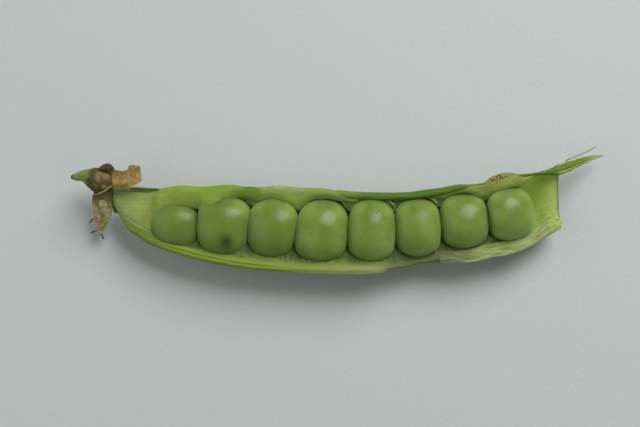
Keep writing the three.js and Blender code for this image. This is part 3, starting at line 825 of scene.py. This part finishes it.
# A pea starts as a ball, pushed out to a squarer outline across the row. Its neighbours flatten it: a length
# l becomes l ((1 + p^c) / (1 + (p l)^c))^(1/c), with p for pressed and c for corner, and so levels off at its
# ends. Then it is stretched to its size, slanted with the row and set down in the pod.
polar = np.linspace(POLE, np.pi - POLE, PEA_ROWS)[:, None]
turn = np.linspace(0, 2 * np.pi, PEA_COLUMNS, endpoint=False)[None, :]
ball_x = -np.cos(polar) + 0 * turn
ball_y = np.sin(polar) * np.cos(turn)
ball_z = np.sin(polar) * np.sin(turn)
around = np.abs(ball_y) ** ROUNDNESS + np.abs(ball_z) ** ROUNDNESS
reach = (ball_x**2 + around ** (2 / ROUNDNESS)) ** -0.5
length = ball_x * reach
sides = np.stack([ball_y, ball_z], axis=-1) * reach[..., None]
for number, (left, right, middle, half_width, half_height, lean, ease, rise, cant) in enumerate(PEAS, 1):
    tight = PRESSED - ease * np.clip(ball_y, 0, 1)
    pressed = length * ((1 + tight**CORNER) / (1 + np.abs(tight * length) ** CORNER)) ** (1 / CORNER)
    free = (ball_x < 0) & (number == 1)
    dents = 1 + DENTS * wander(20 + number, ball_x * 2 + 9, ball_y * 2 + ball_z * 1.7)[..., None]
    half = np.array([(right - left) / 2 + OVERLAP, half_width, half_height])
    shape = np.concatenate([np.where(free, length, pressed)[..., None], sides], axis=-1) * half * dents
    x_middle = (left + right) / 2
    slant = ridge_slant(x_middle + shape[..., 0])
    tilt = np.tan(np.radians(lean))
    top = rise * shape[..., 0] + cant * shape[..., 1]
    turned = shape + np.stack([slant * shape[..., 1], tilt * shape[..., 0], top], axis=-1)
    rest_z = max(float(belly_z(np.array(x_middle))), 0) + FLOOR_GAP
    centre = np.array([x_middle, middle, rest_z + half_height])
    # The second pea has a dark blotch, some are dull or pitted, and the first three are a deeper green.
    forward, sideways = shape[..., 0], shape[..., 1]
    upper = step(shape[..., 2], 0, 1)
    masks = {
        "blotch": (number == 2) * hill(forward, 1.1, 1.1) * hill(sideways, -2.9, 1.3) * upper,
        "dull": (number in (1, 3, 6)) * 1.0,
        "pitted": (number in (2, 5, 6)) * hill(forward, 1.1, 1.2) * hill(sideways, 1.9, 1.0) * upper,
        "deeper": (number <= 3) * 0.5,
        # Painted light on each pea's near side.
        "near_side": 1 - step(sideways, -4, 3),
        # Painted light on the far shoulder.
        "shoulder": (number > 1) * step(sideways, 0.8, 3.0) * step(np.abs(forward), 0.8, 2.8),
    }
    pea = body_mesh(f"seed_{number}", centre + turned, masks)
    pea.data.materials.append(pea_finish)
    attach(pea, "root")
    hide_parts(f"pea_{number}")


# ---------- Pea stalks ----------
# Each pea hangs from the seam by a short soft green stalk, through which it was fed. The stalk is grown
# together with both, and curls over the pea's shoulder.

# Where each stalk stands along the pod, how far it comes out past the free edge, how high it arches and which
# way it curls. The fifth and the sixth stand out clear of the edge, and the others are hidden under it.
PEA_STALKS = [
    (-20.6, -1.0, 0, -0.7), (-12.6, -0.2, 0, -0.7), (-4.4, -1.0, 0, -0.7), (4.0, -0.6, 0, -0.7),
    (11.9, 0.3, 0.45, 0.8), (19.05, 0.3, 0.45, 0.8), (27.4, -0.8, 0, -0.7), (33.4, -0.8, 0, -0.7),
]
# Half its width at each share of its length.
PEA_STALK_WIDTH = through((0, 0.3), (0.5, 0.22), (1, 0.28))
for number, (root_x, out, arch, curl) in enumerate(PEA_STALKS, 1):
    root_y = float(edge_y(np.array(root_x))) - out
    root_z = float(edge_z(np.array(root_x)))
    path = through(
        (0, (root_x - 0.9 * curl, root_y + 1.2, root_z - 0.4)),
        (0.4, (root_x - 0.3 * curl, root_y + 0.3, root_z - 0.3 + arch)),
        (0.75, (root_x + 0.4 * curl, root_y - 0.3, root_z - 0.4 + arch)),
        (1, (root_x + 0.6 * curl, root_y - 0.8, root_z - 1.0 + arch)),
    )
    masks = {"inside": 0.1}
    pea_stalk = thread(f"pea_thread_{number}", path, PEA_STALK_WIDTH, rows=30, around=14, masks=masks)
    pea_stalk.data.materials.append(valve.data.materials[0])
    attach(pea_stalk, "root")
    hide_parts(f"pea_stalk_{number}")


# ---------- Torn flesh ----------
# Part of the pod's pale inner flesh came loose with the other valve. It is left as a thin wrinkled flap along
# the near rim, towards the torn end.


def across_sheet(around):
    """The angles of a sheet's rings, and how far across it they lie: from 0 to 1 on top and back below."""
    a = np.linspace(0, 2 * np.pi, around, endpoint=False)[None, :]
    return a, (1 - np.cos(a)) / 2


def sheet(first_edge, second_edge, half_thickness, rows, around, fold, seed, crumple, fineness):
    """Sections of a thin sheet between two edges: flat rings, from one edge to the other and back.

    A ring point is first + (second - first) (1 - cos a) / 2 + half_thickness sin a normal. The fold lifts the
    middle off the line between the edges, and crumple adds noise, in finer creases as fineness grows.
    """
    t = np.linspace(0, 1, rows)
    a, share = across_sheet(around)
    first, second = first_edge(t), second_edge(t)
    across = second - first
    heading = np.gradient((first + second) / 2, axis=0)
    normal = np.cross(across, heading)
    normal /= np.linalg.norm(normal, axis=1, keepdims=True)
    normal = np.where(normal[:, 2:] < 0, -normal, normal)
    tall = half_thickness * np.sin(a) + fold * np.sin(share * np.pi)
    tall = tall + crumple * wander(seed, t[:, None] * 9 * fineness, share * 3 * fineness)
    tall = tall + 0.5 * crumple * wander(seed + 1, t[:, None] * 12 * fineness, share * 7 * fineness)
    return first[:, None] + share[..., None] * across[:, None] + tall[..., None] * normal[:, None]


FLAP_COLUMNS = 80
flap_outer = through(
    (0, (19.7, -7.4, 5.6)), (0.02, (19.9, -7.9, 5.65)), (0.05, (20.4, -8.2, 5.75)),
    (0.15, (22.4, -8.2, 5.9)), (0.3, (25.3, -8.05, 5.95)), (0.4, (27.0, -7.75, 6.0)),
    (0.5, (28.8, -7.2, 6.0)), (0.6, (30.8, -6.95, 5.9)), (0.75, (33.7, -6.1, 5.8)),
    (0.88, (36.2, -4.7, 5.5)), (1, (38.2, -3.3, 5.1)),
)
flap_inner = through(
    (0, (19.65, -7.2, 5.5)), (0.02, (19.7, -6.8, 5.5)), (0.05, (20.1, -6.4, 5.55)),
    (0.15, (22.4, -6.2, 5.6)), (0.3, (25.2, -5.7, 5.5)), (0.45, (27.8, -5.1, 5.5)),
    (0.6, (30.5, -4.4, 5.4)), (0.75, (33.5, -3.6, 5.2)), (0.88, (35.6, -2.4, 5.0)), (1, (37.9, -0.9, 4.8)),
)
points = sheet(
    flap_outer, flap_inner, half_thickness=0.1, rows=150, around=FLAP_COLUMNS, fold=0.25,
    seed=41, crumple=0.16, fineness=1.3,
)
# Painted shade and light: its left part is painted darker, for the shade it lies in, and it is painted paler
# towards the torn end, where light reaches it; left of that its outer edge is cream.
share = across_sheet(FLAP_COLUMNS)[1]
masks = {
    "pale_end": step(points[..., 0], 23.0, 28.0),
    "edge": (1 - step(share, 0.04, 0.12)) * (1 - step(points[..., 0], 29.0, 31.5)),
}
flap = body_mesh("torn_flesh", points, masks)
finish, shader, paint, where = new_finish("torn_flesh", living(0.3, 0.4, 0.001, (0.9, 1.0, 0.4)))
pale = paint.noise(where, 0.7, 4.0, 0.6, stretch=(3, 1, 1))
fine = paint.noise(where, 3.0, 3.0, 0.6, stretch=(3, 0.7, 0.7))
# Painted shade and light: the flap is darker at its left part and paler towards the torn end.
painted_shade_tone = pale.ramp(0.35, 0.62).mix(colour(100, 112, 62), colour(128, 138, 92))
painted_light_tone = pale.ramp(0.35, 0.62).mix(colour(146, 164, 90), colour(166, 180, 112))
base = paint.mask("pale_end").mix(painted_shade_tone, painted_light_tone)
base = (fine.ramp(0.55, 0.7) * 0.4).mix(base, colour(184, 194, 140))
base = (fine.ramp(0.45, 0.32) * 0.3).mix(base, colour(96, 108, 58))
base = (paint.mask("edge") * 0.5).mix(base, colour(196, 202, 146))
feed(shader, "Base Color", base)
feed(shader, "Roughness", 0.4 + 0.2 * fine)
feed(shader, "Normal", bump(paint, fine + pale, 0.08))
flap.data.materials.append(finish)
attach(flap, "root")


# ---------- Stalk and its cup ----------
# The green stalk that held the pod is cut off at its left end, where it has dried brown. At the pod it widens
# into the cup of the flower, which is drying too.

stalk_path = through(
    (0, (-41.6, 6.1, 6.4)), (0.13, (-40.7, 6.1, 6.45)), (0.25, (-39.8, 6.25, 6.5)),
    (0.37, (-39.0, 6.2, 6.5)), (0.51, (-38.0, 5.95, 6.4)), (0.68, (-36.8, 5.65, 6.2)),
    (0.86, (-35.5, 5.5, 6.0)), (1, (-34.4, 5.2, 5.7)),
)
stalk_radius = through(
    (0, 0.25), (0.04, 0.4), (0.13, 0.6), (0.25, 0.88), (0.37, 1.25), (0.51, 1.78), (0.68, 2.0), (0.86, 1.8),
    (1, 1.2),
)
STALK_COLUMNS = 72
STALK_FLATNESS = 0.82  # its height as a share of its width
RIBS = 9
t = np.linspace(0, 1, 140)[:, None]
turn = np.linspace(0, 2 * np.pi, STALK_COLUMNS, endpoint=False)[None, :]
wide = stalk_radius(t) * (1 + 0.05 * wander(51, t * 5, turn * 3) + 0.02 * np.cos(turn * RIBS))
points = run_along(stalk_path(t[:, 0]), wide, wide * STALK_FLATNESS, STALK_COLUMNS)
masks = {"cup": step(t, 0.4, 0.58), "cut": 1 - step(t, 0.0, 0.09), "joint": hill(t, 0.5, 0.09)}
stalk = body_mesh("stalk_and_cup", points, masks)
finish, shader, paint, where = new_finish("stalk_skin", living(0.3, 0.2, 0.0006, (0.9, 1.0, 0.3)))
streak = paint.noise(where, 1.4, 4.0, 0.6, stretch=(4, 0.6, 0.6))
patch = paint.noise(where, 0.8, 4.0, 0.6)
green = streak.patches(colour(112, 127, 62), colour(135, 148, 82))
brown = patch.ramp(0.4, 0.66).mix(colour(84, 80, 40), colour(144, 118, 78))
base = (paint.mask("cup") * patch.ramp(0.2, 0.4)).mix(green, brown)
base = (paint.mask("joint") * 0.85).mix(base, colour(66, 70, 30))
base = paint.mask("cut").mix(base, colour(96, 78, 50))
feed(shader, "Base Color", base)
feed(shader, "Roughness", 0.5 + 0.2 * streak)
feed(shader, "Normal", bump(paint, streak + patch, 0.12))
stalk.data.materials.append(finish)
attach(stalk, "root")
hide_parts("stalk")


# ---------- Dry calyx ----------
# The five pointed lobes of the flower's calyx, withered to brown and gold paper. A long one lies along the
# pod with its end turned up, one hangs down with a narrow one beside it, and two are curled round the cup.

# Each sepal: its two long edges, from the cup to its tip, how far its middle is lifted, and its two colours.
SEPALS = {
    "sepal_long": (
        through(
            (0, (-35.0, 7.1, 7.2)), (0.2, (-33.9, 7.05, 7.9)), (0.35, (-33.2, 6.85, 8.2)),
            (0.5, (-32.4, 6.8, 8.4)), (0.6, (-31.8, 7.05, 8.5)), (0.66, (-31.5, 7.65, 8.7)),
            (0.85, (-30.5, 7.65, 8.9)), (1, (-29.7, 7.5, 8.8)),
        ),
        through(
            (0, (-35.3, 4.6, 6.7)), (0.2, (-34.3, 3.95, 7.0)), (0.4, (-33.1, 3.8, 7.2)),
            (0.6, (-31.8, 4.2, 7.5)), (0.8, (-30.7, 4.5, 7.8)), (0.93, (-29.8, 4.9, 8.0)),
            (1, (-29.5, 5.3, 8.1)),
        ),
        -0.3,
        (colour(162, 134, 74), colour(184, 158, 98)),
    ),
    "sepal_hanging": (
        through(
            (0, (-37.6, 4.4, 5.4)), (0.1, (-38.1, 3.3, 5.2)), (0.3, (-38.3, 1.8, 4.8)),
            (0.5, (-38.2, 0.3, 4.2)), (0.65, (-38.0, -0.8, 3.7)), (0.85, (-37.7, -2.3, 2.8)),
            (1, (-37.35, -3.1, 2.3)),
        ),
        through(
            (0, (-34.5, 4.5, 5.2)), (0.1, (-34.7, 3.3, 5.0)), (0.3, (-34.95, 1.5, 4.6)),
            (0.5, (-35.1, 0.2, 4.2)), (0.65, (-35.6, -0.8, 3.6)), (0.85, (-36.5, -2.3, 2.8)),
            (1, (-37.15, -3.15, 2.3)),
        ),
        0.45,
        (colour(136, 128, 72), colour(196, 180, 132)),
    ),
    "sepal_front": (
        through(
            (0, (-38.8, 5.6, 7.5)), (0.3, (-38.7, 4.7, 6.7)), (0.55, (-38.3, 4.0, 6.4)),
            (0.8, (-37.7, 3.5, 6.2)), (1, (-37.0, 3.35, 6.2)),
        ),
        through(
            (0, (-38.0, 5.8, 8.0)), (0.4, (-37.3, 5.1, 8.1)), (0.7, (-37.0, 4.3, 7.7)),
            (1, (-36.8, 3.6, 6.9)),
        ),
        0.15,
        (colour(70, 66, 38), colour(108, 98, 60)),
    ),
    "sepal_back": (
        through(
            (0, (-37.0, 7.4, 6.9)), (0.3, (-36.3, 7.95, 7.2)), (0.55, (-35.5, 8.25, 7.4)),
            (0.75, (-34.85, 8.15, 7.3)), (0.88, (-34.5, 7.75, 7.2)), (1, (-34.1, 7.2, 7.0)),
        ),
        through((0, (-36.7, 7.0, 7.6)), (0.5, (-35.5, 7.1, 8.0)), (1, (-34.3, 6.7, 7.6))),
        0.1,
        (colour(60, 46, 30), colour(98, 78, 52)),
    ),
    "sepal_under": (
        through((0, (-35.5, 4.0, 4.8)), (0.5, (-35.3, 2.2, 4.5)), (1, (-34.7, 0.35, 4.1))),
        through((0, (-34.0, 4.0, 4.9)), (0.5, (-33.8, 2.2, 4.5)), (1, (-34.1, 0.35, 4.1))),
        0.15,
        (colour(104, 104, 46), colour(132, 126, 68)),
    ),
}


def dry_finish(name, first, second):
    """A withered leaf's finish: two colours in patches, fine dark veins, and olive where it is masked."""
    finish, shader, paint, where = new_finish(name, {"Roughness": 0.7, "Specular IOR Level": 0.2})
    patch = paint.noise(where, 0.9, 4.0, 0.65)
    vein = paint.noise(where, 3.5, 2.0, 0.6)
    base = patch.ramp(0.32, 0.66).mix(first, second)
    base = (vein.ramp(0.5, 0.3) * 0.25).mix(base, colour(86, 70, 40))
    base = (paint.mask("olive") * 0.75).mix(base, colour(84, 84, 38))
    feed(shader, "Base Color", base)
    feed(shader, "Normal", bump(paint, patch + 0.5 * vein, 0.1))
    return finish


SEPAL_ROWS = 90
SEPAL_COLUMNS = 56
t = np.linspace(0, 1, SEPAL_ROWS)[:, None]
share = across_sheet(SEPAL_COLUMNS)[1]
# Where the lobes are painted a darker olive: the foot of the hanging one, which is still green, and
# the long one's edge along the pod.
olive = {
    "sepal_hanging": 1 - step(t, 0.15, 0.45),
    "sepal_long": step(share, 0.6, 0.85) * (1 - step(t, 0.5, 0.7)),
}
for number, (node, (first_edge, second_edge, fold, (dark_tone, light_tone))) in enumerate(SEPALS.items()):
    points = sheet(
        first_edge, second_edge, half_thickness=0.07, rows=SEPAL_ROWS, around=SEPAL_COLUMNS, fold=fold,
        seed=60 + number, crumple=0.09, fineness=1.5,
    )
    sepal = body_mesh(node.replace("sepal", "dry_lobe"), points, {"olive": olive.get(node, 0)})
    sepal.data.materials.append(dry_finish(node, dark_tone, light_tone))
    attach(sepal, "root")
    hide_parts(node)

# The rim of the cup still shows as a pale green line where the hanging lobe leaves it.
rim_path = through(
    (0, (-37.7, 3.2, 6.3)), (0.25, (-36.9, 3.3, 6.5)), (0.5, (-35.9, 3.6, 6.9)), (0.75, (-35.2, 4.05, 7.1)),
    (1, (-34.35, 4.7, 7.1)),
)
rim_thickness = through((0, 0.05), (0.2, 0.14), (0.8, 0.14), (1, 0.05))
cup_rim = thread("cup_rim", rim_path, rim_thickness, rows=40, around=12)
cup_rim.data.materials.append(plain_finish("cup_rim", 0.5, 1.5, colour(132, 138, 78), colour(158, 162, 106)))
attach(cup_rim, "root")


# ---------- Dried petal ----------
# A scrap of one of the flower's petals, dried to thin whitish paper. It is stuck to the top of the hanging
# lobe.

petal_left = through((0, (-36.9, 2.3, 5.75)), (0.5, (-37.0, 1.2, 5.5)), (1, (-36.6, 0.1, 5.15)))
petal_right = through((0, (-36.1, 2.4, 5.65)), (0.5, (-35.6, 1.3, 5.4)), (1, (-35.9, 0.0, 5.05)))
points = sheet(
    petal_left, petal_right, half_thickness=0.05, rows=60, around=40, fold=0.15,
    seed=71, crumple=0.06, fineness=1.0,
)
petal = body_mesh("petal_scrap", points)
petal.data.materials.append(dry_finish("dry_petal", colour(128, 122, 84), colour(166, 160, 126)))
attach(petal, "root")
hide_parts("dried_petal")


# ---------- Stamens ----------
# Three dark threads, the dried stamens of the flower. They cling to the hanging lobe by one end, and stand
# off from it.

STAMENS = [
    through(
        (0, (-38.0, -0.4, 3.6)), (0.5, (-38.5, -0.6, 3.2)), (0.8, (-38.9, -1.0, 3.0)),
        (1, (-39.1, -1.2, 2.9)),
    ),
    through(
        (0, (-37.0, -2.4, 2.9)), (0.4, (-37.7, -2.5, 2.8)), (0.75, (-38.4, -2.6, 2.6)),
        (1, (-38.9, -2.9, 2.4)),
    ),
    through((0, (-37.1, -2.8, 2.6)), (0.5, (-36.9, -3.3, 2.3)), (1, (-36.8, -3.8, 1.9))),
]
STAMEN_WIDTH = through((0, 0.05), (0.3, 0.09), (0.8, 0.15), (1, 0.08))
stamen_finish = plain_finish("stamen", 0.7, 2.0, colour(70, 66, 60), colour(110, 104, 92))
for number, path in enumerate(STAMENS, 1):
    stamen = thread(f"dry_thread_{number}", path, STAMEN_WIDTH, rows=30, around=10)
    stamen.data.materials.append(stamen_finish)
    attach(stamen, "root")
    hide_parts(f"stamen_{number}")
